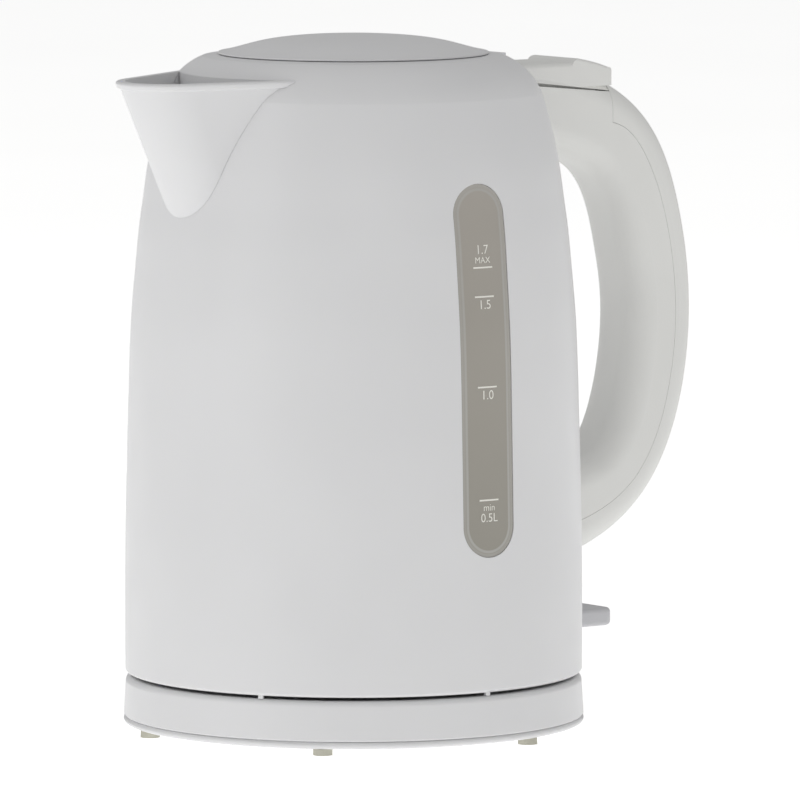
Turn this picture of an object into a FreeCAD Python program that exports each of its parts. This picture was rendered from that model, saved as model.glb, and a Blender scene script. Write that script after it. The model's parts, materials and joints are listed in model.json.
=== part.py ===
import FreeCAD, Part
import math
import os

# Cordless electric kettle with a lift-off power base, a hinged lid with a catch lever on the
# handle, twin water gauges and a paddle switch. Millimetres, +Z up, the swivel axis is Z and the
# table is Z = 0. The spout points along -X, the handle along +X and the gauges along -Y and +Y.

V = FreeCAD.Vector

UP = (0, 0, 1)
ALONG = (1, 0, 0)     # from the spout to the handle
ACROSS = (0, 1, 0)

# ---- fits ----
FIT = 0.10            # between fixed neighbours
SLIDE = 0.30          # between pieces that move past each other
PIN_FIT = 0.06        # radial, pin in a turning bore
PIN_HOLD = 0.02       # radial, pin in the bore that holds it

# ---- jug ----
BODY_R = 76.1         # largest radius
JUG_LOW = 19.1        # lower edge of the wall
SEAM_Z = 224.6        # top of the neck, where the lid sits
WALL = 2.6
INSIDE_R = BODY_R - WALL
LOW_WALL = [(0.0, 2.9), (0.35, 56.9), (1.2, 89.9)]        # inset from BODY_R, height over JUG_LOW
HIGH_WALL = [(2.6, 82.0), (3.8, 68.6), (5.1, 55.6), (6.1, 48.6), (7.9, 35.6), (10.3, 24.6),
             (13.7, 12.6)]                                # inset from BODY_R, depth under SEAM_Z
SHOULDER = [(13.7, 12.6), (19.3, 4.7), (26.1, 0.5)]       # the same, round to the neck
SHOULDER_TURN = [(0.96, 0.0), (0.66, 0.72), (0.40, 0.92)]  # how far an offset moves each, in and down

# ---- base ----
BASE_R = BODY_R + 0.6
BASE_TOP = 17.9       # top of the rim
FOOT_H = 2.2
FOOT_R = 3.2
FOOT_STEM_R = 1.7
FOOT_ORBIT = BASE_R - 4.1
BASE_YAW = 46.0       # first foot
SCREW_ORBIT = BASE_R - 10.2
GLAND_YAW = 76.0
GLAND_Z = 8.6
GLAND_BORE = 2.6
GLAND_R = 3.7
HUB_FLAT = 1.0        # underside of the cord hub
HUB_R = 34.0
PLATE_TOP = 4.6
PLATE_WALL = 1.8
STORE_TOP = 8.0       # roof of the cord store
FLOOR_Z = 15.4        # top of the recessed base floor
FLOOR_LOW = 13.0       # underside of the base floor

# ---- 360 degree connector ----
TOWER_R = 14.0
TOWER_TOP = 36.0
TOWER_FLANGE_R = TOWER_R + 6.4
TOWER_SCREW_ORBIT = TOWER_R + 4.0
SOCKET_BORE = TOWER_R + 0.5
SOCKET_R = SOCKET_BORE + 5.5
SOCKET_LOW = 17.2
SOCKET_TOP = TOWER_TOP + 2.2
EARTH_PIN_R = 2.4
RING_W = 1.0          # thickness of a contact ring
RING_ROOM = 0.5       # groove on each side of a ring
RINGS = {"inner": 6.1, "outer": 10.3}
PLUG_SCREWS = (30, 150, 270)

# ---- element and control ----
LEDGE_Z = 53.6        # underside of the ledge that the element seals against
LEDGE_H = 3.0
LEDGE_R = INSIDE_R - 9.0
SEAL_H = 1.2
PLATE_H = 1.2
PLATE_R = INSIDE_R - 4.3
CLAMP_H = 2.9
ELEMENT_SCREW_ORBIT = INSIDE_R - 2.2
DIFFUSER_R = 50.0
DIFFUSER_H = 2.6
HEATER_ORBIT = 42.0
HEATER_R = 3.4
STEAM_X = INSIDE_R - 16.0
STEAM_R = 4.5
CONTROL_R = 26.0
COVER_Z = 22.0        # underside of the jug bottom cover
COVER_H = 2.5
COVER_SCREW_ORBIT = INSIDE_R - 4.5
THIRDS = (60, 180, 300)
SIXTHS = range(0, 360, 60)

# ---- gauge ----
SLOT_W = 20.5
SLOT_LOW = 63.5
SLOT_HIGH = 185.6
LENS_INSET = 0.3
FLANGE_W = 3.25       # how far the window reaches behind the wall round the slot
WINDOW_T = 1.6
SEAL_T = 0.8

# ---- spout: level, nose centre X and nose radius, low down and at the top ----
SHELL = 2.4           # spout and handle wall
SPOUT_LOW = (SEAM_Z - 59.6, 28.1 - BODY_R, 18.7)
SPOUT_HIGH = (SEAM_Z - 2.6, 4.1 - BODY_R, 20.4)
SPOUT_SIDE = 24.0     # degrees, flanks from the middle plane
SPOUT_BACK = 32.1 - BODY_R
RIM_AT_BODY = (36.1 - BODY_R, SEAM_Z - 5.2)
RIM_AT_TIP = (-16.9 - BODY_R, SEAM_Z - 6.4)
BEAD = 0.9            # roll along the rim
BEAD_H = 2.4
SHOULDER_FRONT = BODY_R - 18.1    # radius of the shoulder's edge over the spout mouth
MOUTH_TOP = SEAM_Z - 11.1
FILTER_LOW = (14.1 - BODY_R, SEAM_Z - 46.6)
FILTER_HIGH = (23.6 - BODY_R, SEAM_Z - 10.6)
FILTER_T = 3.0
MESH_T = 0.5
MESH_HALF = 18.2

# ---- lid and hinge ----
LID_R = 45.0
LID_RISE = 6.6
LID_TOP = SEAM_Z + LID_RISE
LID_T = 2.2
NECK_R = LID_R - 3.5
NECK_WALL = 2.4
NECK_LOW = SEAM_Z - 8.6
PLUG_R = NECK_R - 2 * SLIDE
PLUG_LOW = SEAM_Z - 10.6
PLUG_WALL = 2.1
SKIRT_T = 1.9
HINGE_RELIEF = 1.3    # the plug is cut back on its hinge side so that it swings out of the neck
HINGE_X = LID_R + 5.0
HINGE_Z = SEAM_Z - 5.6
HINGE_HALF = 10.4     # half width of the hinge pocket
PIN_R = 1.5

# ---- handle and catch lever ----
HANDLE_W = 13.0       # half width of the handle
HANDLE_EDGE = 9.0     # rounding along the handle
HANDLE_LOW = 49.0     # where the outline meets the jug, low down
HANDLE_TOP = SEAM_Z - 3.6
COVER_SHARE = 0.62    # the cover's seam, as a share of the way from the inner to the outer line
COVER_GAP = 0.004
HANDLE_SCREW_R = 1.3
TOP_RIB_X = BODY_R + 0.5          # screw ribs across the hollow handle
LOW_RIB_X = BODY_R + 8.5
RIB_T = 2.4
SHELF_Z = SEAM_Z - 19.4           # seat of the catch lever's spring
TOP_SCREW_Z = SEAM_Z - 25.6
LOW_SCREW_Z = 73.5
LEVER_X = BODY_R + 19.9
LEVER_Z = SEAM_Z - 19.6
CATCH_END = BODY_R + 21.9         # rear face of the catch lever
CATCH_TRAVEL = 1.6                # degrees
SEAM_FRONT = (BODY_R - 26.1, SEAM_Z - 11.2)
SEAM_REAR = (CATCH_END + 0.4, SEAM_Z - 15.8)
DECK_Z = SEAM_Z - 5.4
LEVER_ROOF = SEAM_Z - 8.0
SLIDER_Z = SEAM_Z - 15.9
SLIDER_HALF = 4.8

# ---- paddle switch ----
SWITCH_X = INSIDE_R - 11.5
SWITCH_Z = 31.0
PADDLE_HALF = 12.0
PADDLE_LONG = 30.0
ANCHOR_X = 26.0       # post of the trip spring
LAMP = (INSIDE_R - 14.5, -17.0, SWITCH_Z + 7.0)
LAMP_R = 2.5

os.makedirs("parts", exist_ok=True)


# ---- helpers ----
def box(x0, x1, y0, y1, z0, z1):
    return Part.makeBox(x1 - x0, y1 - y0, z1 - z0, V(x0, y0, z0))


def rod(r, start, axis, length):
    return Part.makeCylinder(r, length, V(*start), V(*axis))


def ring(r0, r1, z0, z1, x=0.0, y=0.0):
    outer = rod(r1, (x, y, z0), (0, 0, 1), z1 - z0)
    return outer.cut(rod(r0, (x, y, z0 - 1), (0, 0, 1), z1 - z0 + 2))


def fuse(shapes):
    whole = shapes[0].multiFuse(shapes[1:])
    return whole.removeSplitter()


def polar(r, deg, z=0.0):
    a = math.radians(deg)
    return V(r * math.cos(a), r * math.sin(a), z)


def around(shape, angles):
    out = []
    for deg in angles:
        copy = shape.copy()
        copy.rotate(V(0, 0, 0), V(0, 0, 1), deg)
        out.append(copy)
    return out


def drill(shape, hole, angles):
    for tool in around(hole, angles):
        shape = shape.cut(tool)
    return shape


def edge_of(item):
    """One outline item: two points make a line, three an arc, more a smooth curve."""
    pts = [V(r, 0, z) for r, z in item]
    if len(pts) == 2:
        return Part.makeLine(pts[0], pts[1])
    if len(pts) == 3:
        return Part.Arc(pts[0], pts[1], pts[2]).toShape()
    curve = Part.BSplineCurve()
    curve.interpolate(pts)
    return curve.toShape()


def face_xz(items):
    """A flat face in the XZ plane from outline items; gaps between items are closed by lines."""
    edges = []
    for i, item in enumerate(items):
        edges.append(edge_of(item))
        end = item[-1]
        start = items[(i + 1) % len(items)][0]
        if math.dist(end, start) > 1e-6:
            edges.append(edge_of([end, start]))
    return Part.Face(Part.Wire(edges))


def lathe(items):
    return face_xz(items).revolve(V(0, 0, 0), V(0, 0, 1), 360)


def turned(points):
    """Revolve a polygon of (r, z) points."""
    return lathe([[points[i], points[(i + 1) % len(points)]] for i in range(len(points))])


def slab_xz(items, half):
    """Extrude an XZ outline to both sides of the middle plane."""
    face = face_xz(items)
    face.translate(V(0, -half, 0))
    return face.extrude(V(0, 2 * half, 0))


def coil(radius, wire, height, turns, start, axis):
    """A compression spring as a swept helix."""
    path = Part.makeHelix(height / turns, height, radius)
    profile = Part.Wire([Part.makeCircle(wire, V(radius, 0, 0), V(0, 1, 0))])
    spring = Part.Wire(path.Edges).makePipeShell([profile], True, True)
    spring.Placement = FreeCAD.Placement(V(*start), FreeCAD.Rotation(V(0, 0, 1), V(*axis)))
    return spring


def screw(head_r, head_h, shank_r, length):
    """A slotted pan head screw, head underside at z = 0 and shank upward."""
    head = rod(head_r, (0, 0, -head_h), (0, 0, 1), head_h)
    head = head.cut(box(-head_r, head_r, -0.3, 0.3, -head_h - 1, -head_h * 0.5))
    return head.fuse(rod(shank_r, (0, 0, 0), (0, 0, 1), length))


def placed(shape, at, deg=0.0, axis=(0, 0, 1)):
    copy = shape.copy()
    copy.Placement = FreeCAD.Placement(V(*at), FreeCAD.Rotation(V(*axis), deg))
    return copy


def export(name, shape):
    solids = shape.Solids
    shape = solids[0] if len(solids) == 1 else Part.makeCompound(solids)
    shape.exportStep("parts/%s.step" % name)


# ---- jug outline ----
def jug_solid(offset):
    """The jug's outer form, moved inward by offset (outward when negative)."""
    wall = [(BODY_R - inset - offset, JUG_LOW + height) for inset, height in LOW_WALL]
    wall += [(BODY_R - inset - offset, SEAM_Z - depth) for inset, depth in HIGH_WALL]
    steep = [(BODY_R - inset - offset * across, SEAM_Z - depth - offset * down)
             for (inset, depth), (across, down) in zip(SHOULDER, SHOULDER_TURN)]
    steep[0] = wall[-1]
    top = SEAM_Z - offset
    r = BODY_R - offset
    neck = LID_R + SLIDE
    return lathe([[(0, JUG_LOW), (r - 1.1, JUG_LOW)],
                  [(r - 1.1, JUG_LOW), (r - 0.35, JUG_LOW + 0.35), (r, JUG_LOW + 1.1)],
                  [(r, JUG_LOW + 1.1), wall[0]],
                  wall, steep, [steep[-1], (neck, top)], [(neck, top), (0, top)]])


# ---- power base ----
def base_shell(screw_angles):
    r = BASE_R
    outline = lathe([[(r - 3.0, PLATE_TOP + FIT), (r - 0.5, PLATE_TOP + FIT)],
                     [(r - 0.5, PLATE_TOP + FIT), (r - 0.05, PLATE_TOP + 0.6)],
                     [(r - 0.05, PLATE_TOP + 0.6), (r - 0.7, BASE_TOP - 2.0)],
                     [(r - 0.7, BASE_TOP - 2.0), (r - 1.29, BASE_TOP - 0.59), (r - 2.7, BASE_TOP)],
                     [(r - 2.7, BASE_TOP), (r - 4.3, BASE_TOP)],
                     [(r - 4.3, BASE_TOP), (r - 5.0, BASE_TOP - 0.3), (r - 5.3, BASE_TOP - 1.0)],
                     [(r - 5.3, BASE_TOP - 1.0), (r - 5.9, FLOOR_Z)],
                     [(r - 5.9, FLOOR_Z), (TOWER_R + 0.4, FLOOR_Z)],
                     [(TOWER_R + 0.4, FLOOR_Z), (TOWER_R + 0.4, FLOOR_LOW)],
                     [(TOWER_R + 0.4, FLOOR_LOW), (r - 7.2, FLOOR_LOW)],
                     [(r - 7.2, FLOOR_LOW), (r - 3.0, FLOOR_LOW - 0.4)]])
    boss = rod(3.4, (SCREW_ORBIT, 0, PLATE_TOP + FIT), UP, FLOOR_LOW + 0.5 - PLATE_TOP - FIT)
    shell = fuse([outline] + around(boss, screw_angles))
    shell = drill(shell, rod(1.3, (SCREW_ORBIT, 0, 0), UP, FLOOR_LOW - 1.0), screw_angles)
    return drill(shell, rod(1.1, (TOWER_SCREW_ORBIT, 0, FLOOR_LOW - 1.0), UP, 2.6), PLUG_SCREWS)


def base_plate(screw_angles, foot_angles):
    """The floor of the base: a hub in the middle, the cord store round it and a rim."""
    r = BASE_R
    well = TOWER_FLANGE_R + 0.4
    hub_top = HUB_FLAT + 2.0
    store = STORE_TOP + PLATE_WALL
    plate = lathe([[(0, HUB_FLAT), (HUB_R, HUB_FLAT)],
                   [(HUB_R, HUB_FLAT), (HUB_R, hub_top)],
                   [(HUB_R, hub_top), (well + PLATE_WALL, hub_top)],
                   [(well + PLATE_WALL, hub_top), (well + PLATE_WALL, STORE_TOP)],
                   [(well + PLATE_WALL, STORE_TOP), (r - 17.7, STORE_TOP)],
                   [(r - 17.7, STORE_TOP), (r - 16.7, FOOT_H)],
                   [(r - 16.7, FOOT_H), (r - 1.2, FOOT_H)],
                   [(r - 1.2, FOOT_H), (r - 0.35, FOOT_H + 0.35), (r, FOOT_H + 1.2)],
                   [(r, FOOT_H + 1.2), (r - 0.35, PLATE_TOP - 0.35), (r - 1.2, PLATE_TOP)],
                   [(r - 1.2, PLATE_TOP), (r - 14.5, PLATE_TOP)],
                   [(r - 14.5, PLATE_TOP), (r - 15.3, store)],
                   [(r - 15.3, store), (well, store)],
                   [(well, store), (well, hub_top)],
                   [(well, hub_top), (0, hub_top)]])
    plate = drill(plate, rod(2.9, (SCREW_ORBIT, 0, 1.0), UP, 2.6), screw_angles)
    plate = drill(plate, rod(1.5, (SCREW_ORBIT, 0, 1.0), UP, 6.0), screw_angles)
    return drill(plate, rod(FOOT_STEM_R + FIT, (FOOT_ORBIT, 0, 1.0), UP, 6.0), foot_angles)


def cord_gland():
    """The sleeve that pierces the skirt between two feet, and the hole it needs."""
    way = polar(1, GLAND_YAW)

    def along(r, start, length):
        return rod(r, polar(start, GLAND_YAW, GLAND_Z), way, length)

    sleeve = along(GLAND_R, BASE_R - 10.7, 10.9)
    outer_collar = along(GLAND_R + 0.9, BASE_R + 0.05, 1.2)
    inner_collar = along(GLAND_R + 0.2, BASE_R - 6.1, 2.6)
    gland = fuse([sleeve, outer_collar, inner_collar]).cut(along(GLAND_BORE, BASE_R - 16.7, 25.0))
    return gland, along(GLAND_R + FIT, BASE_R - 10.7, 15.0)


def base_connector():
    """The tower that carries the contacts, and the three blades in it."""
    low = 5.6
    tower = rod(TOWER_R, (0, 0, low), UP, TOWER_TOP - low)
    top_edge = [e for e in tower.Edges if abs(e.BoundBox.ZMin - TOWER_TOP) < 0.01][:1]
    tower = tower.makeChamfer(1.0, top_edge)
    flange_low = 10.5
    tower = tower.fuse(rod(TOWER_FLANGE_R, (0, 0, flange_low), UP, FLOOR_LOW - FIT - flange_low))
    well_low = 15.0
    tower = tower.cut(rod(EARTH_PIN_R + 0.8, (0, 0, well_low), UP, 30))
    for r in RINGS.values():
        tower = tower.cut(ring(r - RING_ROOM, r + RING_W + RING_ROOM, well_low, 40.0))
    tower = drill(tower, rod(1.3, (TOWER_SCREW_ORBIT, 0, 5.0), UP, 10), PLUG_SCREWS)
    blades = {}
    for name, r, deg in (("earth", 0.0, 0), ("live", RINGS["inner"] + RING_W / 2, 90),
                         ("neutral", RINGS["outer"] + RING_W / 2, 210)):
        blade = box(r - 0.5, r + 0.5, -1.4, 1.4, 4.2, 18.4)
        tab = box(r - 0.5, r + 2.6, -1.4, 1.4, 4.2, 5.2)
        slot = box(r - 0.5 - FIT, r + 0.5 + FIT, -1.4 - FIT, 1.4 + FIT, 4.0, 16.0)
        tower = drill(tower, slot, [deg])
        blades["base_contact_" + name] = around(fuse([blade, tab]), [deg])[0]
    return tower.removeSplitter(), blades


def base_parts():
    foot_angles = [BASE_YAW + 60 * k for k in range(6)]
    screw_angles = [a + 30 for a in foot_angles if abs(a + 30 - GLAND_YAW) > 1]
    gland, gland_hole = cord_gland()
    tower, blades = base_connector()
    base_screw = screw(2.6, 1.2, 1.2, 7.5)
    base_screw.translate(V(SCREW_ORBIT, 0, 3.5))
    foot = rod(FOOT_R, (FOOT_ORBIT, 0, 0), UP, FOOT_H - PIN_HOLD)
    stem = rod(FOOT_STEM_R, (FOOT_ORBIT, 0, 1.0), UP, PLATE_TOP - 1.2)
    tower_screw = screw(2.0, 1.4, 1.0, 4.0)
    tower_screw.translate(V(TOWER_SCREW_ORBIT, 0, 10.4))

    export("base_top_shell", base_shell(screw_angles).cut(gland_hole))
    export("base_bottom_plate", base_plate(screw_angles, foot_angles))
    export("base_feet", Part.makeCompound(around(fuse([foot, stem]), foot_angles)))
    export("base_screws", Part.makeCompound(around(base_screw, screw_angles)))
    export("base_connector", tower)
    export("base_connector_screws", Part.makeCompound(around(tower_screw, PLUG_SCREWS)))
    for name, blade in blades.items():
        export(name, blade)
    export("cord_gland", gland)


# ---- jug half of the connector, all round about Z so that the jug can turn on it ----
def connector_parts():
    ceiling = TOWER_TOP + 0.8
    socket = turned([(SOCKET_BORE, SOCKET_LOW), (SOCKET_R - 0.8, SOCKET_LOW),
                     (SOCKET_R, SOCKET_LOW + 1.0), (SOCKET_R, SOCKET_TOP), (0, SOCKET_TOP),
                     (0, ceiling), (SOCKET_BORE, ceiling)])
    pin_low = 19.1
    contact_low = 20.5
    pin = rod(EARTH_PIN_R, (0, 0, contact_low), UP, SOCKET_TOP - 0.5 - contact_low)
    pin = pin.fuse(Part.makeCone(EARTH_PIN_R / 2, EARTH_PIN_R, contact_low - pin_low, V(0, 0, pin_low)))
    socket = socket.cut(rod(EARTH_PIN_R + FIT, (0, 0, 30), UP, SOCKET_TOP - 0.4 - 30))
    export("connector_earth_pin", pin.removeSplitter())
    for name, r in RINGS.items():
        socket = socket.cut(ring(r - FIT, r + RING_W + FIT, 30.0, SOCKET_TOP - 0.5))
        export("connector_ring_" + name, ring(r, r + RING_W, contact_low, SOCKET_TOP - 0.6))
    export("jug_connector", socket)


# ---- spout ----
def spout_form(inset):
    """The spout's leaning round nose and its straight flanks, moved inward by inset."""
    side = math.radians(SPOUT_SIDE)
    wires = []
    for z, centre, nose in (SPOUT_LOW, SPOUT_HIGH):
        r = nose - inset
        tangent = (centre - r * math.sin(side), r * math.cos(side))
        back_y = tangent[1] + (SPOUT_BACK - tangent[0]) * math.tan(side)
        near, far = V(tangent[0], -tangent[1], z), V(*tangent, z)
        corners = [far, V(SPOUT_BACK, back_y, z), V(SPOUT_BACK, -back_y, z), near]
        edges = [Part.Arc(near, V(centre - r, 0, z), far).toShape()]
        edges += [Part.makeLine(a, b) for a, b in zip(corners, corners[1:])]
        wires.append(Part.Wire(edges))
    return Part.makeLoft(wires, True, True)


def above_rim(drop=0.0):
    x0, z0 = RIM_AT_TIP
    x1, z1 = RIM_AT_BODY
    return slab_xz([[(x0 - 10, z0 - drop), (x0, z0 - drop)], [(x0, z0 - drop), (x1, z1 - drop)],
                    [(x1, z1 - drop), (x1, 260)], [(x1, 260), (x0 - 10, 260)]], 60)


def spout_outer():
    nose = spout_form(0.0).cut(above_rim())
    bead = spout_form(-BEAD).common(above_rim(BEAD_H).cut(above_rim()))
    edges = [e for e in bead.Edges if e.BoundBox.XMin < -85.0 and e.Length > 12.0]
    return nose.fuse(bead.makeFillet(BEAD - 0.1, edges))


def spout_channel():
    """Open above beyond the shoulder, and a mouth through the jug wall under it."""
    lean = (SPOUT_LOW[1] - SPOUT_LOW[2] - SPOUT_HIGH[1] + SPOUT_HIGH[2]) / (SPOUT_HIGH[0] - SPOUT_LOW[0])
    form = spout_form(SHELL * math.hypot(1.0, lean))
    outside = form.cut(rod(SHOULDER_FRONT, (0, 0, 150), (0, 0, 1), 100))
    mouth = form.common(box(-80.0, -47.0, -60, 60, SPOUT_LOW[0], MOUTH_TOP))
    return outside.fuse(mouth)


# ---- handle outline ----
HANDLE_H = HANDLE_TOP - HANDLE_LOW
HANDLE_OUTER = [(-26, 172), (2, 170), (32, 158), (51.5, 131), (59.5, 82), (48.5, 35), (23, 9.5), (-10, 0)]
HANDLE_INNER = [(-26, 144), (1, 140), (20.5, 130), (29, 110), (32.3, 79), (24.5, 46), (10, 35), (-10, 30.6)]
HANDLE_NOMINAL = 172.0            # height that the two outlines are drawn at


def handle_line(points):
    """One outline, out from the jug wall and up from the foot, as a smooth curve."""
    stretch = HANDLE_H / HANDLE_NOMINAL
    curve = Part.BSplineCurve()
    curve.interpolate(Points=[V(BODY_R + x, 0, HANDLE_LOW + z * stretch) for x, z in points],
                      Parameters=list(range(len(points))))
    return curve


def handle_pairs():
    """Outer and inner (x, z) points, two to each drawn point, from the shoulder to the foot."""
    outer = handle_line(HANDLE_OUTER)
    inner = handle_line(HANDLE_INNER)
    steps = 2 * (len(HANDLE_OUTER) - 1)
    return [[(line.value(k / 2).x, line.value(k / 2).z) for line in (outer, inner)]
            for k in range(steps + 1)]


def between_lines(share):
    """Points that lie a share of the way from the inner line to the outer one."""
    return [(i[0] + share * (o[0] - i[0]), i[1] + share * (o[1] - i[1])) for o, i in handle_pairs()]


def rounded_section(outer, inner, half, edge, inset):
    o = V(outer[0], 0, outer[1])
    i = V(inner[0], 0, inner[1])
    d = (o - i).normalize()
    o = o - d * inset
    i = i + d * inset
    y = V(0, 1, 0)
    w = half - inset
    r = edge - inset
    k = r * (1 - math.sqrt(0.5))
    edges = []
    corners = []
    for p, s, side in ((i, 1, -1), (o, -1, -1), (o, -1, 1), (i, 1, 1)):
        on_side = p + y * (side * w) + d * (s * r)
        on_end = p + y * (side * (w - r))
        middle = p + y * (side * (w - k)) + d * (s * k)
        corners.append((on_end, middle, on_side) if side * s < 0 else (on_side, middle, on_end))
    for n, (a, m, b) in enumerate(corners):
        edges.append(Part.Arc(a, m, b).toShape())
        edges.append(Part.makeLine(b, corners[(n + 1) % 4][0]))
    return Part.Wire(edges)


def handle_loft(inset):
    wires = [rounded_section(o, i, HANDLE_W, HANDLE_EDGE, inset) for o, i in handle_pairs()]
    return Part.makeLoft(wires, True, False)


def seam_gap(x):
    return SLIDE + (LEVER_X - x) * math.tan(math.radians(CATCH_TRAVEL))


def handle_zones():
    """The room above the seam line, and the part of it that the catch lever fills."""
    over_seam = slab_xz([[SEAM_FRONT, SEAM_REAR], [SEAM_REAR, (SEAM_REAR[0], 260)],
                         [(SEAM_REAR[0], 260), (SEAM_FRONT[0], 260)]], 30)
    front = (SEAM_FRONT[0], SEAM_FRONT[1] + seam_gap(SEAM_FRONT[0]))
    rear = (CATCH_END, SEAM_REAR[1] + 0.05 + SLIDE)
    lever_zone = slab_xz([[front, rear], [rear, (CATCH_END, 260)],
                          [(CATCH_END, 260), (SEAM_FRONT[0], 260)]], 30)
    return over_seam, lever_zone


def back_zone(share, x0):
    """Everything behind the seam between the grip and the clipped cover at its back."""
    path = between_lines(share)[4:]
    start = (x0, path[0][1] + 2.0)
    return slab_xz([[(x0, 260), start], [start] + path,
                    [path[-1], (path[-1][0], 0)], [(path[-1][0], 0), (200, 0)],
                    [(200, 0), (200, 260)]], 30)


def handle_ribs(inner, ear_room, over_seam):
    """Screw ribs, spring shelf, pivot ears and the lips that close the seam from inside."""
    low_rib = box(LOW_RIB_X, LOW_RIB_X + RIB_T, -20, 20, LOW_SCREW_Z - 33.5, LOW_SCREW_Z + 16.5)
    top_rib = box(TOP_RIB_X, TOP_RIB_X + RIB_T, -20, 20, TOP_SCREW_Z - 19.0, SEAM_Z - 15.2)
    top_rib = top_rib.fuse(box(TOP_RIB_X, TOP_RIB_X + RIB_T, -6, 6, TOP_SCREW_Z + 1.0, SEAM_Z - 13.4))
    shelf = box(TOP_RIB_X + 1.4, TOP_RIB_X + 13.4, -20, 20, SHELF_Z - 1.8, SHELF_Z)
    ribs = [rib.common(inner) for rib in (low_rib, top_rib, shelf)]
    for side in (-1, 1):
        ear = box(LEVER_X - 3.4, LEVER_X + 3.4, *sorted((side * 7.6, side * 12.0)),
                  LEVER_Z - 14, LEVER_Z + 2.9)
        ribs.append(ear.common(ear_room).cut(over_seam))
        lip_ends = (CATCH_END - 42.0, CATCH_END - 5.0)
        ribs.append(box(*lip_ends, *sorted((side * 8.9, side * 10.0)), SHELF_Z - 1.8, SEAM_Z - 10.0))
        root = box(*lip_ends, *sorted((side * 8.9, side * 12.0)), SHELF_Z - 1.8, SHELF_Z + 2.2)
        ribs.append(root.common(inner))
    return ribs


def catch_lever(outer, inner, lever_zone):
    """A flat deck behind the lid and a raised thumb pad, hollow underneath."""
    half = HANDLE_W - SLIDE
    low = DECK_Z - 8.2
    deck = box(CATCH_END - 42.0, CATCH_END - 14.0, -half, half, low, DECK_Z)
    deck = deck.makeFillet(1.5, [e for e in deck.Edges if e.BoundBox.ZMin > DECK_Z - 0.2
                                 and e.Length > 25.0])

    def at(back, up):
        return (CATCH_END - back, DECK_Z + up)

    pad = slab_xz([[at(16.4, -8.2), at(16.4, -0.6)], [at(16.4, -0.6), at(15.4, 0.6), at(13.6, 1.3)],
                   [at(13.6, 1.3), at(9.6, 0.5), at(5.6, -0.5), at(1.0, -2.0)],
                   [at(1.0, -2.0), at(0.2, -2.5), at(0.0, -3.4)], [at(0.0, -3.4), at(0.0, -8.2)]], half)
    pad = pad.makeFillet(1.0, [e for e in pad.Edges if e.BoundBox.YLength < 0.01
                               and e.BoundBox.ZMin > DECK_Z - 5.2 and e.Length > 4.0])
    skirt = outer.common(box(CATCH_END - 42.0, CATCH_END, -30, 30, LEVER_Z - 5.0, DECK_Z - 3.2))
    lever = fuse([deck, pad, skirt]).common(lever_zone)
    lever = lever.cut(box(SEAM_FRONT[0], CATCH_END - 2.4, -10.3, 10.3, 195, LEVER_ROOF))
    lever = lever.cut(inner.common(box(SEAM_FRONT[0], CATCH_END - 2.4, -20, 20, 195, LEVER_ROOF - 2.6)))
    knuckle = rod(3.0, (LEVER_X, -7.2, LEVER_Z), ACROSS, 14.4)
    web = box(LEVER_X - 2.4, LEVER_X + 2.0, -5.0, 5.0, LEVER_Z, LEVER_ROOF - 2.1)
    post = rod(3.4, (CATCH_END - 14.0, 0, SHELF_Z + 6.7), UP, 6.5)
    finger = box(CATCH_END - 32.0, CATCH_END - 29.0, -3.0, 3.0, SHELF_Z + 6.6, DECK_Z - 0.2)
    lever = fuse([lever, web, knuckle, post, finger])
    lever = lever.cut(rod(PIN_R + PIN_FIT, (LEVER_X, -8, LEVER_Z), ACROSS, 16))
    return lever.cut(jug_solid(-1.5))


def handle_parts():
    outer = handle_loft(0.0)
    inner = handle_loft(SHELL)
    near_body = jug_solid(-0.15)
    hollow = outer.cut(inner)
    over_seam, lever_zone = handle_zones()
    behind = back_zone(COVER_SHARE, SEAM_REAR[0])
    cover = hollow.common(back_zone(COVER_SHARE + COVER_GAP, SEAM_REAR[0] + FIT))

    ear_room = inner.fuse(outer.common(over_seam))
    ribs = [rib.cut(behind) for rib in handle_ribs(inner, ear_room, over_seam)]
    shell = fuse([hollow.cut(over_seam).cut(behind)] + ribs)
    shell = shell.cut(rod(PIN_R + PIN_HOLD, (LEVER_X, -10.2, LEVER_Z), ACROSS, 20.4))
    hole_r = HANDLE_SCREW_R + 0.4
    shell = shell.cut(rod(hole_r, (TOP_RIB_X - 6.6, 0, TOP_SCREW_Z), ALONG, 12))
    shell = shell.cut(rod(hole_r, (LOW_RIB_X - 4.6, 0, LOW_SCREW_Z), ALONG, 10))

    export("handle_shell", shell.cut(near_body))
    export("handle_cover", cover.cut(near_body))
    export("release_lever", catch_lever(outer, inner, lever_zone))
    export("lever_pin", rod(PIN_R, (LEVER_X, -10.0, LEVER_Z), ACROSS, 20.0))
    export("lever_spring", coil(2.6, 0.3, 5.8, 5, (CATCH_END - 14.0, 0, SHELF_Z + 0.4), UP))
    slider = box(BODY_R - 17.3, BODY_R - 8.1, -SLIDER_HALF, SLIDER_HALF, SLIDER_Z - 1.5, SLIDER_Z + 1.5)
    export("latch_slider", slider.cut(rod(1.0, (BODY_R - 13.1, 0, 200), UP, 20)))
    spring_x = BODY_R - 7.7
    export("latch_spring", coil(1.7, 0.25, TOP_RIB_X - 0.4 - spring_x, 6, (spring_x, 0, SLIDER_Z), ALONG))
    long_screw = screw(3.2, 2.0, HANDLE_SCREW_R, 8.6)
    export("handle_screws", Part.makeCompound([
        placed(long_screw, (rib_x + RIB_T + FIT, 0, z), -90, ACROSS)
        for rib_x, z in ((TOP_RIB_X, TOP_SCREW_Z), (LOW_RIB_X, LOW_SCREW_Z))]))


# ---- gauge ----
def slot_prism(width, low, high, side):
    half = width / 2.0
    y0 = 40.0 if side > 0 else -90.0
    middle = box(-half, half, y0, y0 + 50, low + half, high - half)
    ends = [rod(half, (0, y0, z), (0, 1, 0), 50) for z in (low + half, high - half)]
    return fuse([middle] + ends)


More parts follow.
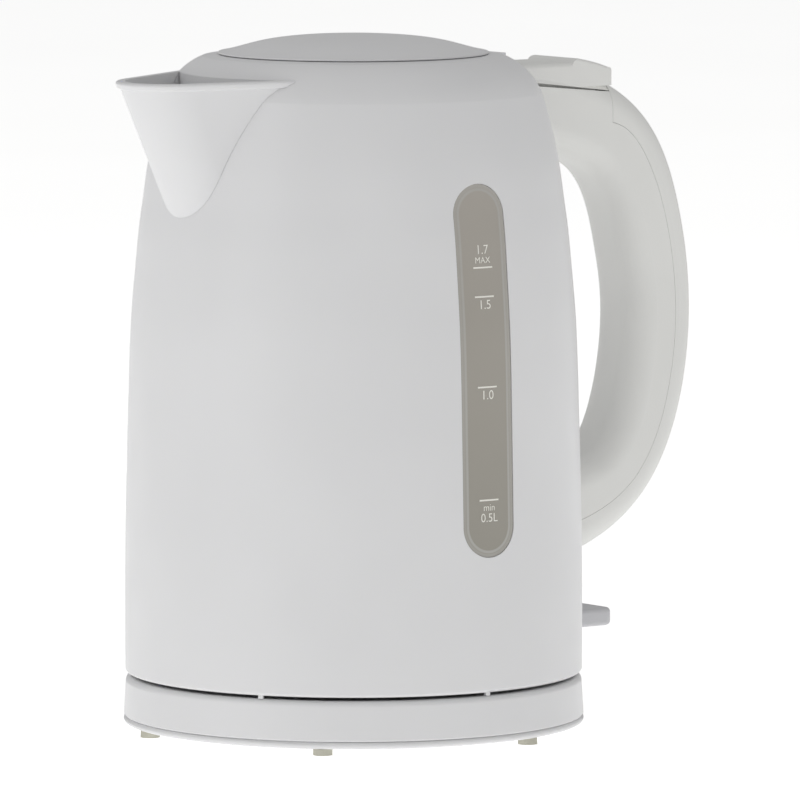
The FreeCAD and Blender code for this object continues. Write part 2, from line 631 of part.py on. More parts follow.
def gauge_parts():
    lens_outer = jug_solid(LENS_INSET)
    lens_mid = jug_solid(WALL + SEAL_T)
    lens_back = jug_solid(WALL + SEAL_T + WINDOW_T)
    seal_out = jug_solid(WALL + FIT)
    seal_in = jug_solid(WALL + SEAL_T - FIT)
    for name, side in (("left", -1), ("right", 1)):
        stem = slot_prism(SLOT_W - 2 * FIT, SLOT_LOW + FIT, SLOT_HIGH - FIT, side)
        wide = slot_prism(SLOT_W + 2 * FLANGE_W, SLOT_LOW - FLANGE_W, SLOT_HIGH + FLANGE_W, side)
        lens = stem.common(lens_outer.cut(lens_back))
        flange = wide.common(lens_mid.cut(lens_back))
        export("gauge_window_" + name, fuse([lens, flange]))
        hole = slot_prism(SLOT_W + 4 * FIT, SLOT_LOW - 2 * FIT, SLOT_HIGH + 2 * FIT, side)
        band = wide.cut(hole).common(seal_out.cut(seal_in))
        export("gauge_seal_" + name, band)


# ---- jug body ----
def body_cavity():
    room = jug_solid(WALL).common(rod(90, (0, 0, LEDGE_Z + LEDGE_H), UP, 180))
    room = room.cut(ring(NECK_R, 100, SEAM_Z - NECK_WALL, 240))
    room = room.cut(ring(NECK_R, NECK_R + NECK_WALL, NECK_LOW, 240))
    return room.fuse(rod(NECK_R, (0, 0, PLUG_LOW), UP, 20)).removeSplitter()


def body_bosses(cavity):
    """Rest pads over the base rim, screw bosses and hinge lugs."""
    pad = box(INSIDE_R + 0.1, BODY_R - 1.2, -0.8, 0.8, BASE_TOP + FIT, JUG_LOW + 0.5)
    boss_low = COVER_Z + COVER_H + FIT
    cover_boss = rod(4.0, (COVER_SCREW_ORBIT, 0, boss_low), UP, 9.0)
    cover_boss = cover_boss.fuse(box(COVER_SCREW_ORBIT + 1.0, INSIDE_R + 1.0, -3, 3,
                                     boss_low, boss_low + 9.0))
    upper_x = INSIDE_R - 13.5
    lower_x = INSIDE_R + 0.5
    upper = rod(4.5, (upper_x, 0, TOP_SCREW_Z), ALONG, TOP_RIB_X - FIT - upper_x)
    lower = rod(4.0, (lower_x, 0, LOW_SCREW_Z), ALONG, LOW_RIB_X - FIT - lower_x)
    lugs = [box(HINGE_X - 3.6, HINGE_X + 3.6, y, y + 2.6, HINGE_Z - 3.6, HINGE_Z + 3.4)
            for y in (HINGE_HALF, -HINGE_HALF - 2.6)]
    return (around(pad, [30 + 60 * k for k in range(6)]) + around(cover_boss, THIRDS)
            + [boss.cut(cavity) for boss in (upper, lower)] + lugs)


def body_part():
    cavity = body_cavity()
    body = jug_solid(0.0).cut(cavity)
    body = body.cut(turned([(0, 0), (INSIDE_R, 0), (INSIDE_R, LEDGE_Z), (0, LEDGE_Z)]))
    body = body.cut(rod(LEDGE_R, (0, 0, LEDGE_Z - 13.6), UP, 30))
    body = body.cut(spout_channel())
    for side in (-1, 1):
        body = body.cut(slot_prism(SLOT_W, SLOT_LOW, SLOT_HIGH, side))
    body = fuse([body] + body_bosses(cavity))

    pilot_r = HANDLE_SCREW_R + FIT
    body = body.cut(rod(pilot_r, (BODY_R - 7.6, 0, TOP_SCREW_Z), ALONG, 20))
    body = body.cut(rod(pilot_r, (BODY_R + 1.4, 0, LOW_SCREW_Z), ALONG, 20))
    body = drill(body, rod(1.2, (COVER_SCREW_ORBIT, 0, COVER_Z - 2.0), UP, 12), THIRDS)
    body = drill(body, rod(1.3, (ELEMENT_SCREW_ORBIT, 0, LEDGE_Z - 1), UP, 2.8), SIXTHS)
    body = body.cut(rod(PIN_R + PIN_HOLD, (HINGE_X, -20, HINGE_Z), ACROSS, 40))
    body = body.cut(box(HINGE_X - 14.0, HINGE_X + 8.0, -HINGE_HALF, HINGE_HALF,
                        SEAM_Z - 14.6, SEAM_Z + 5.4))
    catch_half = SLIDER_HALF + 0.4
    body = body.cut(box(BODY_R - 19.1, BODY_R - 10.1, -catch_half, catch_half,
                        SLIDER_Z - 1.9, SLIDER_Z + 1.9))
    paddle_half = PADDLE_HALF + 0.5
    body = body.cut(box(INSIDE_R - 3.5, BODY_R + 3.9, -paddle_half, paddle_half,
                        COVER_Z + COVER_H - 0.2, SWITCH_Z + 3.6))
    export("jug_body", body)
    export("spout", spout_outer().cut(jug_solid(-FIT)).cut(spout_channel()))


# ---- element, control and bottom cover ----
def element_parts():
    """The heater stack hangs under the jug's ledge, layer under layer."""
    seal_top = LEDGE_Z - FIT
    plate_top = seal_top - SEAL_H - FIT
    plate_low = plate_top - PLATE_H
    clamp_top = plate_low - FIT
    clamp_low = clamp_top - CLAMP_H
    export("element_seal", ring(LEDGE_R + 0.4, PLATE_R + 0.4, seal_top - SEAL_H, seal_top))
    plate = rod(PLATE_R, (0, 0, plate_low), UP, PLATE_H)
    export("element_plate", plate.cut(rod(STEAM_R + FIT, (STEAM_X, 0, 0), UP, 100)))
    clamp = ring(LEDGE_R, INSIDE_R - 0.2, clamp_low, clamp_top)
    export("element_clamp", drill(clamp, rod(1.4, (ELEMENT_SCREW_ORBIT, 0, 0), UP, 100), SIXTHS))
    element_screw = screw(2.0, 1.6, 1.2, 6.2)
    element_screw.translate(V(ELEMENT_SCREW_ORBIT, 0, clamp_low - 0.05))
    export("element_screws", Part.makeCompound(around(element_screw, SIXTHS)))

    diffuser_low = clamp_top - DIFFUSER_H
    export("heat_diffuser", rod(DIFFUSER_R, (0, 0, diffuser_low), UP, DIFFUSER_H))
    tube_z = diffuser_low - FIT - HEATER_R
    bend = Part.makeTorus(HEATER_ORBIT, HEATER_R, V(0, 0, 0), V(0, 0, 1), 0, 360, 300)
    bend.rotate(V(0, 0, 0), V(0, 0, 1), 30)
    bend.translate(V(0, 0, tube_z))
    pins = [rod(1.2, tuple(polar(HEATER_ORBIT, deg, tube_z)), (0, 0, -1), 8.0) for deg in (32.0, 328.0)]
    export("heating_element", fuse([bend] + pins))
    control_parts(diffuser_low)

    tube = ring(STEAM_R - 1.7, STEAM_R, SOCKET_TOP + 3.0, SEAM_Z - 26.6, STEAM_X)
    collar = ring(STEAM_R - 0.5, STEAM_R + 2.0, plate_top + FIT, plate_top + 1.6, STEAM_X)
    export("steam_tube", tube.fuse(collar).removeSplitter())


def control_parts(diffuser_low):
    """The thermostat over the socket, with its snap disc and its steam disc."""
    low = SOCKET_TOP + SLIDE
    dome_top = diffuser_low - 1.4
    control = rod(CONTROL_R, (0, 0, low), UP, 4.2)
    control = control.fuse(ring(7.5, 10.5, SOCKET_TOP + 4.0, dome_top - 1.7))
    arm = box(CONTROL_R - 6.0, STEAM_X + 8.5, -9.0, 9.0, low, low + 1.6)
    leg = rod(2.4, (CONTROL_R - 7.0, 0, SOCKET_TOP + 2.0), UP, diffuser_low - FIT - SOCKET_TOP - 2.0)
    control = fuse([control, arm] + around(leg, THIRDS))
    steam_disc_r = 6.6
    seat = low + 0.4
    export("thermostat_control", control.cut(rod(steam_disc_r + 0.3, (STEAM_X, 0, seat), UP, 5)))
    export("steam_bimetal", rod(steam_disc_r, (STEAM_X, 0, seat + FIT), UP, 0.5))
    disc_r = 60.0
    centre = V(0, 0, dome_top - disc_r)
    dome = Part.makeSphere(disc_r, centre).cut(Part.makeSphere(disc_r - 0.4, centre))
    export("bimetal_disc", dome.common(rod(11.0, (0, 0, dome_top - 6.9), UP, 12)))


def cover_parts():
    """Bottom cover with the switch posts, spring post and lamp cradle."""
    cover = ring(SOCKET_R + 0.5, INSIDE_R - 0.2, COVER_Z, COVER_Z + COVER_H)
    cover = drill(cover, rod(1.5, (COVER_SCREW_ORBIT, 0, 0), UP, 60), THIRDS)
    low = COVER_Z + 1
    post_y = PADDLE_HALF - 2.6
    posts = [box(SWITCH_X - 3.2, SWITCH_X + 3.2, y, y + 2.4, low, SWITCH_Z + 3.0)
             for y in (post_y, -post_y - 2.4)]
    anchor = box(ANCHOR_X, ANCHOR_X + 3.0, -4.0, 4.0, low, SWITCH_Z + 2.5)
    x, y, z = LAMP
    cradle = box(x + 3.0, x + 7.0, y - 3.0, y + 3.0, low, z - 2.0)
    cover = fuse([cover, anchor, cradle] + posts)
    cover = cover.cut(rod(PIN_R + PIN_HOLD, (SWITCH_X, -20, SWITCH_Z), ACROSS, 40))
    export("bottom_cover", cover.cut(rod(LAMP_R + FIT, (x - 1.0, y, z), ALONG, 20)))
    export("indicator_lamp", rod(LAMP_R, LAMP, ALONG, 10.0))
    cover_screw = screw(2.8, 1.4, 1.1, 7.5)
    cover_screw.translate(V(COVER_SCREW_ORBIT, 0, COVER_Z - 0.05))
    export("bottom_cover_screws", Part.makeCompound(around(cover_screw, THIRDS)))


# ---- on and off paddle ----
def switch_part():
    root = SWITCH_X + 8.5
    end = root + PADDLE_LONG
    paddle = box(root, end, -PADDLE_HALF, PADDLE_HALF, SWITCH_Z - 3.0, SWITCH_Z + 3.0)
    corners = [e for e in paddle.Edges if e.BoundBox.ZLength > 5.9 and e.BoundBox.XMin > end - 0.5]
    paddle = paddle.makeFillet(4.0, corners)
    tip = [e for e in paddle.Edges if e.BoundBox.XMax > end - 0.1 and e.BoundBox.ZLength < 0.01
           and e.BoundBox.YLength > 10.0 and e.BoundBox.XMin > end - 10.5]
    paddle = paddle.makeFillet(1.5, tip)
    neck = box(SWITCH_X - 6.0, root + 1.0, -7.5, 7.5, SWITCH_Z - 2.4, SWITCH_Z + 2.0)
    hub_half = PADDLE_HALF - 3.0
    hub = rod(3.4, (SWITCH_X, -hub_half, SWITCH_Z), ACROSS, 2 * hub_half)
    paddle = fuse([paddle, neck, hub])
    paddle = paddle.cut(rod(PIN_R + PIN_FIT, (SWITCH_X, -15, SWITCH_Z), ACROSS, 30))
    export("switch_lever", paddle)
    export("switch_pin", rod(PIN_R, (SWITCH_X, -PADDLE_HALF, SWITCH_Z), ACROSS, 2 * PADDLE_HALF))
    spring_x = ANCHOR_X + 3.8
    export("trip_spring", coil(2.2, 0.35, SWITCH_X - 8.2 - spring_x, 11, (spring_x, 0, SWITCH_Z), ALONG))


# ---- scale filter behind the spout ----
def filter_parts():
    low = V(FILTER_LOW[0], 0, FILTER_LOW[1])
    high = V(FILTER_HIGH[0], 0, FILTER_HIGH[1])
    length = (high - low).Length
    along = (high - low).normalize()
    out = V(-along.z, 0, along.x)

    def tilted(half_w, s0, s1, half_t):
        shape = Part.makeBox(2 * half_w, 2 * half_t, s1 - s0)
        turn = FreeCAD.Rotation(V(0, 1, 0), out, along, "ZXY")
        corner = low + along * s0 - out * half_t - V(0, half_w, 0)
        shape.Placement = FreeCAD.Placement(corner, turn)
        return shape

    mesh_low = 3.8
    mesh_top = length - 4.3
    cavity = jug_solid(WALL + 0.2).common(rod(90, (0, 0, 0), UP, SEAM_Z - 7.4))
    slab = tilted(40, 0.0, length - 1.2, FILTER_T / 2).common(cavity)
    window = tilted(MESH_HALF - 1.2, mesh_low + 1.2, mesh_top - 1.2, 5)
    groove = tilted(MESH_HALF + FIT, mesh_low - FIT, mesh_top + FIT, MESH_T / 2 + FIT)
    export("filter_frame", slab.cut(window).cut(groove))
    export("filter_mesh", tilted(MESH_HALF, mesh_low, mesh_top, MESH_T / 2))


# ---- lid ----
def lid_cover():
    """The domed cover, with a skirt that presses into the plug."""
    low = SEAM_Z + 0.2
    skirt_low = SEAM_Z - 6.6
    out_r = PLUG_R - PLUG_WALL - FIT
    in_r = out_r - SKIRT_T
    return lathe([[(LID_R - 0.4, low), (LID_R, low + 0.25)],
                  [(LID_R, low + 0.25), (LID_R - 0.1, low + 0.5), (LID_R - 0.6, low + 0.65)],
                  [(LID_R - 0.6, low + 0.65), (LID_R - 5.7, low + 1.85), (LID_R - 12.6, low + 3.7),
                   (LID_R - 25.0, LID_TOP - 0.85), (0, LID_TOP)],
                  [(0, LID_TOP), (0, LID_TOP - LID_T)],
                  [(0, LID_TOP - LID_T), (LID_R - 25.0, LID_TOP - LID_T - 0.9),
                   (LID_R - 14.0, low + 1.9), (in_r + 0.8, low + 0.4)],
                  [(in_r + 0.8, low + 0.4), (in_r, low + 0.2)], [(in_r, low + 0.2), (in_r, skirt_low)],
                  [(in_r, skirt_low), (out_r, skirt_low)], [(out_r, skirt_low), (out_r, low)]])


def lid_parts():
    top = SEAM_Z + 0.2 - FIT
    bore = PLUG_R - PLUG_WALL
    plug = turned([(0, PLUG_LOW), (PLUG_R - 0.8, PLUG_LOW), (PLUG_R, PLUG_LOW + 0.8), (PLUG_R, top),
                   (bore, top), (bore, PLUG_LOW + 2.0), (0, PLUG_LOW + 2.0)])
    swing = rod(PLUG_R, (-HINGE_RELIEF, 0, 200), UP, 30).fuse(box(-60, 0, -60, 60, 200, 230))
    arm = box(PLUG_R - 1.7, HINGE_X, -9.0, 4.0, HINGE_Z - 1.6, HINGE_Z + 3.6)
    arm = arm.cut(rod(bore, (0, 0, 200), UP, 30))
    flap_half = HINGE_HALF - 0.6
    flap = box(HINGE_X - 4.6, HINGE_X + 5.8, -flap_half, flap_half, HINGE_Z + 3.2, HINGE_Z + 4.4)
    knuckle = rod(3.2, (HINGE_X, -9.0, HINGE_Z), ACROSS, 13.0)
    tail = box(0, 11.4, -9.0, -2.0, -1.5, 1.5)
    tail.rotate(V(0, 0, 0), V(0, 1, 0), 60)
    tail.translate(V(HINGE_X, 0, HINGE_Z))
    plug = fuse([plug.common(swing), arm, flap, knuckle, tail])
    export("lid_cover", lid_cover())
    export("lid_inner", plug.cut(rod(PIN_R + PIN_FIT, (HINGE_X, -15, HINGE_Z), ACROSS, 30)))
    pin_half = HINGE_HALF + 2.4
    export("lid_hinge_pin", rod(PIN_R, (HINGE_X, -pin_half, HINGE_Z), ACROSS, 2 * pin_half))
    export("lid_spring", coil(2.3, 0.35, 4.4, 5, (HINGE_X, 5.2, HINGE_Z), ACROSS))


base_parts()
connector_parts()
body_part()
gauge_parts()
element_parts()
cover_parts()
switch_part()
handle_parts()
filter_parts()
lid_parts()
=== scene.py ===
import json
import math

import bmesh
import bpy
from mathutils import Matrix, Vector
from mathutils.bvhtree import BVHTree


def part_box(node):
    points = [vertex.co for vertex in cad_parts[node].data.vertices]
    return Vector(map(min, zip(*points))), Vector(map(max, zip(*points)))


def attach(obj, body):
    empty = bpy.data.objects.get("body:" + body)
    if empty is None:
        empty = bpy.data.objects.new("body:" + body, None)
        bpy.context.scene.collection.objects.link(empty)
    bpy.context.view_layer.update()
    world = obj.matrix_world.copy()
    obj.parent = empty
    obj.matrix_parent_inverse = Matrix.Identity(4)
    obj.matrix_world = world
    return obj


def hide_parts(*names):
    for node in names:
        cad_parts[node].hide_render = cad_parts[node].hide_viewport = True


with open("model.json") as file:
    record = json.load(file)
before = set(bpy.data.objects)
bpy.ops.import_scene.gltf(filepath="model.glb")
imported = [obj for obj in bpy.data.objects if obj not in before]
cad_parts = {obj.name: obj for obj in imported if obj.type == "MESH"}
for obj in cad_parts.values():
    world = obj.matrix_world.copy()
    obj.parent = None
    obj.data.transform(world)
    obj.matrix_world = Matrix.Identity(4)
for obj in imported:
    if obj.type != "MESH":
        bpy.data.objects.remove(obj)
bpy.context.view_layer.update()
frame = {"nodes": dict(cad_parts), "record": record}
nodes = frame["nodes"]
scene = bpy.context.scene
scene.view_settings.view_transform = "Standard"

# ---------------------------------------------------------------- camera
# A long lens 3.3 m away, 36 degrees round towards the gauge side, a little above the lid.
camera_data = bpy.data.cameras.new("camera")
camera_data.lens = 448.8
camera_data.sensor_width = 36.0
camera_data.clip_end = 100.0
camera = bpy.data.objects.new("camera", camera_data)
scene.collection.objects.link(camera)
camera.location = (-1.9397, -2.6698, 0.432)
look = Vector((0.01250, -0.00905, 0.1093)) - camera.location
camera.rotation_euler = look.to_track_quat("-Z", "Y").to_euler()
scene.camera = camera


# ---------------------------------------------------------------- light and floor
def area_light(name, size, watts, place, target):
    data = bpy.data.lights.new(name, "AREA")
    data.shape = "RECTANGLE"
    data.size, data.size_y = size
    data.energy = watts
    light = bpy.data.objects.new(name, data)
    scene.collection.objects.link(light)
    light.location = place
    aim = Vector(target) - light.location
    light.rotation_euler = aim.to_track_quat("-Z", "Y").to_euler()


world = bpy.data.worlds.new("studio")
world.use_nodes = True
world.node_tree.nodes["Background"].inputs["Color"].default_value = (1.0, 1.0, 1.0, 1.0)
world.node_tree.nodes["Background"].inputs["Strength"].default_value = 0.41
scene.world = world
area_light("key", (1.6, 2.0), 10.0, (-2.6, 0.2, 1.1), (0.0, 0.0, 0.12))
area_light("top", (2.4, 2.4), 8.0, (0.2, 0.2, 2.6), (0.0, 0.0, 0.0))
area_light("fill", (1.6, 1.6), 2.0, (1.6, -2.0, 0.8), (0.0, 0.0, 0.12))


# ---------------------------------------------------------------- materials
def linear(code):
    """sRGB hex to linear RGBA."""
    parts = [int(code[i:i + 2], 16) / 255.0 for i in (1, 3, 5)]
    parts = [c / 12.92 if c <= 0.04045 else ((c + 0.055) / 1.055) ** 2.4 for c in parts]
    return (*parts, 1.0)


def add(tree, kind, settings=(), links=()):
    """A node with its settings, then its links as (socket to set, node, its output)."""
    node = tree.nodes.new(kind)
    for key, value in dict(settings).items():
        if isinstance(key, str) and hasattr(node, key):
            setattr(node, key, value)
        else:
            node.inputs[key].default_value = value
    for socket, source, output in links:
        tree.links.new(source.outputs[output], node.inputs[socket])
    return node


def finish_of(name, shader, rough=None, tint=None, bump=None):
    """A material from shader socket values and up to three patterns.

    rough and tint are (low, high, cell in mm), bump is (height in mm, cell in mm).
    """
    material = bpy.data.materials.new(name)
    material.use_nodes = True
    tree = material.node_tree
    tree.nodes.clear()
    output = add(tree, "ShaderNodeOutputMaterial")
    surface = add(tree, "ShaderNodeBsdfPrincipled", shader)
    tree.links.new(surface.outputs["BSDF"], output.inputs["Surface"])
    place = add(tree, "ShaderNodeTexCoord")
    if rough:
        low, high, cell = rough
        grain = add(tree, "ShaderNodeTexNoise", {"Scale": 1000.0 / cell, "Detail": 3.0},
                    [("Vector", place, "Object")])
        spread = add(tree, "ShaderNodeMapRange",
                     {"From Min": 0.3, "From Max": 0.7, "To Min": low, "To Max": high},
                     [("Value", grain, "Fac")])
        tree.links.new(spread.outputs["Result"], surface.inputs["Roughness"])
    if tint:
        low, high, cell = tint
        cloud = add(tree, "ShaderNodeTexNoise", {"Scale": 1000.0 / cell, "Detail": 2.0},
                    [("Vector", place, "Object")])
        ramp = add(tree, "ShaderNodeValToRGB", (), [("Fac", cloud, "Fac")])
        ramp.color_ramp.elements[0].position = 0.35
        ramp.color_ramp.elements[1].position = 0.65
        ramp.color_ramp.elements[0].color = linear(low)
        ramp.color_ramp.elements[1].color = linear(high)
        tree.links.new(ramp.outputs["Color"], surface.inputs["Base Color"])
    if bump:
        height, cell = bump
        peel = add(tree, "ShaderNodeTexNoise", {"Scale": 1000.0 / cell, "Detail": 2.0},
                   [("Vector", place, "Object")])
        relief = add(tree, "ShaderNodeBump", {"Strength": 1.0, "Distance": height / 1000.0},
                     [("Height", peel, "Fac")])
        tree.links.new(relief.outputs["Normal"], surface.inputs["Normal"])
    return material


# Polypropylene moulded in a polished tool: off-white, a soft wide sheen, faint flow ripple.
shell_white = finish_of("polypropylene_moulded_white",
                        {"IOR": 1.49, "Subsurface Weight": 0.04,
                         "Subsurface Radius": (0.004, 0.004, 0.003), "Subsurface Scale": 0.5},
                        rough=(0.33, 0.40, 14.0), tint=("#E7E7E8", "#E4E4E5", 60.0),
                        bump=(0.012, 5.0))
# The same plastic moulded in a fine spark-textured tool: greyer, matt, with a sand-like grain.
handle_grey = finish_of("polypropylene_textured_grey",
                        {"IOR": 1.49},
                        rough=(0.46, 0.58, 0.9), tint=("#EAEAE7", "#E7E7E4", 35.0),
                        bump=(0.02, 0.55))
# Polyamide moulded smooth: cool grey, low sheen.
lever_grey = finish_of("polyamide_moulded_grey",
                       {"IOR": 1.53},
                       rough=(0.38, 0.46, 6.0), tint=("#CACACD", "#C7C8CB", 25.0),
                       bump=(0.01, 2.5))
# Smoke-tinted copolyester, moulded clear: a grey brown window, darker towards its foot, with a
# greyer band painted along its border for the light on its rounded rim, and one painted highlight line
# where the pocket inside it catches the light.
smoke_window = finish_of("copolyester_smoke_clear_painted_rim_light",
                         {"IOR": 1.55, "Transmission Weight": 0.22},
                         rough=(0.16, 0.24, 8.0), bump=(0.006, 6.0))


def colour_window_with_painted_rim_light(material, seal):
    """Colour by the distance in from the window's rounded outline, and by height; near the outline this
    paints the light on the rounded rim: a greyer painted band and one painted highlight line.

    The seal behind the window reaches the same distance past its outline all round.
    """
    past_outline = 0.00325
    low = seal[0][2] + past_outline
    high = seal[1][2] - past_outline
    half_width = (seal[1][0] - seal[0][0]) / 2 - past_outline
    tree = material.node_tree
    place = add(tree, "ShaderNodeTexCoord")
    split = add(tree, "ShaderNodeSeparateXYZ", (), [("Vector", place, "Object")])
    height = add(tree, "ShaderNodeMapRange", {"From Min": low, "From Max": high},
                 [("Value", split, "Z")])
    field = add(tree, "ShaderNodeValToRGB", (), [("Fac", height, "Result")])
    field.color_ramp.elements[0].color = linear("#ABA79C")
    field.color_ramp.elements[1].color = linear("#C2BCB3")

    # distance from the line that joins the centres of the two round ends
    up = add(tree, "ShaderNodeMath", {"operation": "SUBTRACT", 1: (low + high) / 2},
             [(0, split, "Z")])
    far = add(tree, "ShaderNodeMath", {"operation": "ABSOLUTE"}, [(0, up, "Value")])
    over = add(tree, "ShaderNodeMath", {"operation": "SUBTRACT", 1: (high - low) / 2 - half_width},
               [(0, far, "Value")])
    past = add(tree, "ShaderNodeMath", {"operation": "MAXIMUM", 1: 0.0}, [(0, over, "Value")])
    offset = add(tree, "ShaderNodeCombineXYZ", (), [("X", split, "X"), ("Y", past, "Value")])
    reach = add(tree, "ShaderNodeVectorMath", {"operation": "LENGTH"}, [(0, offset, "Vector")])
    share = add(tree, "ShaderNodeMath", {"operation": "DIVIDE", 1: half_width},
                [(0, reach, "Value")])
    # painted rim light: a greyer painted band at the outline, one painted highlight line further in, and
    # a thin darker painted line between them
    painted_rim_light = add(tree, "ShaderNodeValToRGB", (), [("Fac", share, "Value")])
    stops = painted_rim_light.color_ramp.elements
    stops[0].position = 0.76
    stops[0].color = (0.0, 0.0, 0.0, 1.0)
    stops[1].position = 0.90
    stops[1].color = (0.55, 0.55, 0.55, 1.0)
    for position, level in ((0.79, 0.85), (0.84, 0.85), (0.87, 0.25)):
        stops.new(position).color = (level, level, level, 1.0)
    # the painted rim light laid over the colour by height
    blend = add(tree, "ShaderNodeMix", {"data_type": "RGBA", 7: linear("#C9C7C2")},
                [(0, painted_rim_light, "Color"), (6, field, "Color")])
    surface = next(node for node in tree.nodes if node.type == "BSDF_PRINCIPLED")
    tree.links.new(blend.outputs[2], surface.inputs["Base Color"])


colour_window_with_painted_rim_light(smoke_window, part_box("gauge_seal_left"))
# Silicone moulded: milky, matt.
seal_rubber = finish_of("silicone_moulded_milky", {"IOR": 1.41},
                        rough=(0.55, 0.68, 2.0), tint=("#D6D5CF", "#CFCEC8", 8.0),
                        bump=(0.01, 1.0))
# Rubber moulded: pale beige, dusty matt.
foot_rubber = finish_of("rubber_moulded_beige", {"IOR": 1.52},
                        rough=(0.72, 0.88, 1.2), tint=("#C2C0B2", "#B9B7A9", 5.0),
                        bump=(0.02, 0.8))
# Stainless steel, brushed in circles and a little dulled by water.
stainless = finish_of("stainless_brushed", {"Metallic": 1.0},
                      rough=(0.24, 0.38, 1.5), tint=("#C9C8C5", "#BEBDBA", 12.0),
                      bump=(0.008, 0.6))
# Carbon steel screws and pins, zinc plated: bluish, fine crystal spangle.
screw_steel = finish_of("steel_zinc_plated", {"Metallic": 1.0},
                        rough=(0.26, 0.42, 0.7), tint=("#B9BCC2", "#AEB1B8", 2.0),
                        bump=(0.006, 0.5))
# Spring wire, drawn hard: dark grey with draw lines.
spring_steel = finish_of("steel_drawn_wire", {"Metallic": 1.0},
                         rough=(0.28, 0.44, 0.4), tint=("#9B9DA1", "#8E9094", 1.5),
                         bump=(0.004, 0.3))
# Brass strip, stamped: yellow, burnished where it rubs.
contact_brass = finish_of("brass_stamped", {"Metallic": 1.0},
                          rough=(0.2, 0.38, 1.5), tint=("#D9B665", "#C9A352", 4.0),
                          bump=(0.005, 0.8))
# Aluminium, die cast: pale, slightly grainy.
diffuser_aluminium = finish_of("aluminium_cast", {"Metallic": 1.0},
                               rough=(0.38, 0.55, 1.2), tint=("#CDCED0", "#C1C2C5", 6.0),
                               bump=(0.02, 1.0))
# Polyester filled with glass, moulded: charcoal, matt, faint fibre mottle.
control_dark = finish_of("polyester_glass_filled_dark", {"IOR": 1.55},
                         rough=(0.48, 0.64, 1.2), tint=("#2C2C2F", "#26262A", 3.0),
                         bump=(0.012, 0.7))
# Neon lamp glass: clear with an orange tint.
lamp_glass = finish_of("lamp_glass_orange",
                       {"IOR": 1.5, "Transmission Weight": 0.7},
                       rough=(0.05, 0.12, 3.0), tint=("#F0A070", "#E89060", 5.0),
                       bump=(0.002, 2.0))
# Pad-printed ink: flat white, slightly raised.
gauge_ink = finish_of("ink_pad_printed_white", {"IOR": 1.5},
                      rough=(0.45, 0.6, 0.8), tint=("#F6F4EC", "#F1EFE7", 3.0),
                      bump=(0.003, 0.5))
# Studio floor: matt painted board.
floor_white = finish_of("board_painted_white", {"IOR": 1.4,
                                                "Emission Strength": 0.55,
                                                "Emission Color": (1.0, 1.0, 1.0, 1.0)},
                        rough=(0.86, 0.94, 40.0), tint=("#FBFBFA", "#F9F9F8", 400.0))

SLOTS = {"shell_white": shell_white, "handle_grey": handle_grey, "lever_grey": lever_grey,
         "smoke_window": smoke_window, "seal_rubber": seal_rubber, "foot_rubber": foot_rubber,
         "stainless": stainless, "screw_steel": screw_steel, "spring_steel": spring_steel,
         "contact_brass": contact_brass, "diffuser_aluminium": diffuser_aluminium,
         "control_dark": control_dark, "lamp_glass": lamp_glass, "mesh_steel": stainless}
for part in frame["record"]["subparts"]:
    slots = nodes[part["node"]].data.materials
    slots.clear()
    slots.append(SLOTS[part["material_slot"]])


# ---------------------------------------------------------------- new pieces
def piece(name, bm, material, body=None, smooth=True):
    """A mesh object from a bmesh, left at the origin with its place in its vertices."""
    bmesh.ops.recalc_face_normals(bm, faces=bm.faces)
    mesh = bpy.data.meshes.new(name)
    bm.to_mesh(mesh)
    bm.free()
    mesh.materials.append(material)
    mesh.polygons.foreach_set("use_smooth", [smooth] * len(mesh.polygons))
    obj = bpy.data.objects.new(name, mesh)
    scene.collection.objects.link(obj)
    if body:
        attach(obj, body)
    return obj


floor_bm = bmesh.new()
bmesh.ops.create_grid(floor_bm, x_segments=2, y_segments=2, size=20.0)
piece("floor", floor_bm, floor_white, smooth=False)


def text_mesh(words, size):
    """Flat upright lettering as a bmesh, centred, in the XZ plane."""
    curve = bpy.data.curves.new("words", "FONT")
    curve.body = words
    curve.size = size
    curve.align_x = "CENTER"
    curve.align_y = "CENTER"
    holder = bpy.data.objects.new("words", curve)
    scene.collection.objects.link(holder)
    bpy.context.view_layer.update()
    mesh = bpy.data.meshes.new_from_object(holder)
    bpy.data.objects.remove(holder)
    bm = bmesh.new()
    bm.from_mesh(mesh)
    bmesh.ops.rotate(bm, verts=bm.verts, cent=(0, 0, 0), matrix=Matrix.Rotation(math.pi / 2, 3, "X"))
    return bm


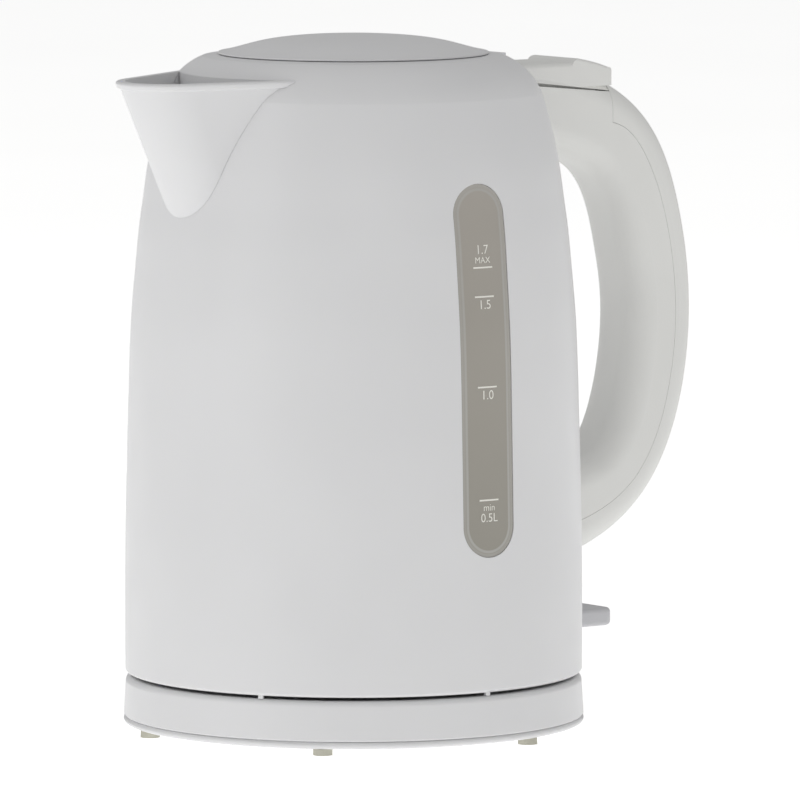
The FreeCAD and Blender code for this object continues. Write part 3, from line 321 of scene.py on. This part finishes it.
def gauge_print(name, window, side):
    """White scale marks laid on the face of one water window, on the side y = side."""
    face = BVHTree.FromPolygons([v.co for v in window.vertices], [p.vertices for p in window.polygons])
    line_length = 0.0077
    line_width = 0.00055
    ink_height = 0.00006
    whole = bmesh.new()
    for height in (0.1584, 0.1489, 0.1194, 0.0824):
        line = bmesh.ops.create_grid(whole, x_segments=8, y_segments=1, size=0.5)
        bmesh.ops.scale(whole, verts=line["verts"], vec=(line_length, line_width, 1.0))
        bmesh.ops.rotate(whole, verts=line["verts"], cent=(0, 0, 0),
                         matrix=Matrix.Rotation(math.pi / 2, 3, "X"))
        bmesh.ops.translate(whole, verts=line["verts"], vec=(0, 0, height))
    for words, size, height in (("1.7", 0.0042, 0.1641), ("MAX", 0.0029, 0.1607),
                                ("1.5", 0.0042, 0.1462), ("1.0", 0.0042, 0.1167),
                                ("min", 0.0032, 0.0799), ("0.5L", 0.0040, 0.0765)):
        letters = text_mesh(words, size)
        bmesh.ops.translate(letters, verts=letters.verts, vec=(0, 0, height))
        mesh = bpy.data.meshes.new("words")
        letters.to_mesh(mesh)
        letters.free()
        whole.from_mesh(mesh)
    bmesh.ops.triangulate(whole, faces=whole.faces)
    bmesh.ops.subdivide_edges(whole, edges=[e for e in whole.edges if e.calc_length() > 0.0015], cuts=1)
    if side > 0:
        bmesh.ops.rotate(whole, verts=whole.verts, cent=(0, 0, 0),
                         matrix=Matrix.Rotation(math.pi, 3, "Z"))
    for vert in whole.verts:
        hit = face.ray_cast(Vector((vert.co.x, side * 0.2, vert.co.z)), Vector((0, -side, 0)))[0]
        vert.co.y = hit.y + side * ink_height
    marks = piece(name, whole, gauge_ink, "jug", smooth=False)
    return marks


gauge_print("gauge_marks_left", nodes["gauge_window_left"].data, -1)
gauge_print("gauge_marks_right", nodes["gauge_window_right"].data, 1)


# ---------------------------------------------------------------- filter gauze
def wavy_wires(bm, count, pitch, length, radius, first_phase):
    """Parallel wires along X, in the XY plane, that rise and dip once for every pitch."""
    middle = (count - 1) / 2
    for number in range(count):
        tube = bmesh.ops.create_cone(bm, segments=5, radius1=radius, radius2=radius, depth=length)
        bmesh.ops.rotate(bm, verts=tube["verts"], cent=(0, 0, 0),
                         matrix=Matrix.Rotation(math.pi / 2, 3, "Y"))
        bmesh.ops.translate(bm, verts=tube["verts"], vec=(0, (number - middle) * pitch, 0))
    long_edges = [e for e in bm.edges if e.calc_length() > length / 2]
    bmesh.ops.subdivide_edges(bm, edges=long_edges, cuts=int(4 * length / pitch))
    for vert in bm.verts:
        number = round(vert.co.y / pitch + middle)
        vert.co.z += radius * math.cos(math.pi * (vert.co.x / pitch + number + first_phase))


def woven_gauze():
    """Stainless wires woven over and under each other, on the plane of the sheet they replace."""
    low, high = (Vector(corner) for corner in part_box("filter_mesh"))
    pitch = 0.0013
    radius = 0.00012
    width = high.y - low.y
    height = math.hypot(high.x - low.x, high.z - low.z)
    bm = bmesh.new()
    wavy_wires(bm, int(height / pitch), pitch, width, radius, 0.0)
    warp = bmesh.new()
    wavy_wires(warp, int(width / pitch), pitch, height, radius, 1.0)
    bmesh.ops.rotate(warp, verts=warp.verts, cent=(0, 0, 0), matrix=Matrix.Rotation(math.pi / 2, 3, "Z"))
    half = bpy.data.meshes.new("warp")
    warp.to_mesh(half)
    warp.free()
    bm.from_mesh(half)
    lean = math.atan2(high.x - low.x, high.z - low.z)
    turn = Matrix.Rotation(lean, 4, "Y") @ Matrix.Rotation(math.pi / 2, 4, "Y") @ Matrix.Rotation(
        math.pi / 2, 4, "Z")
    bmesh.ops.transform(bm, verts=bm.verts, matrix=Matrix.Translation((low + high) / 2) @ turn)
    gauze = piece("filter_gauze", bm, stainless, "jug")
    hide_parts("filter_mesh")


woven_gauze()
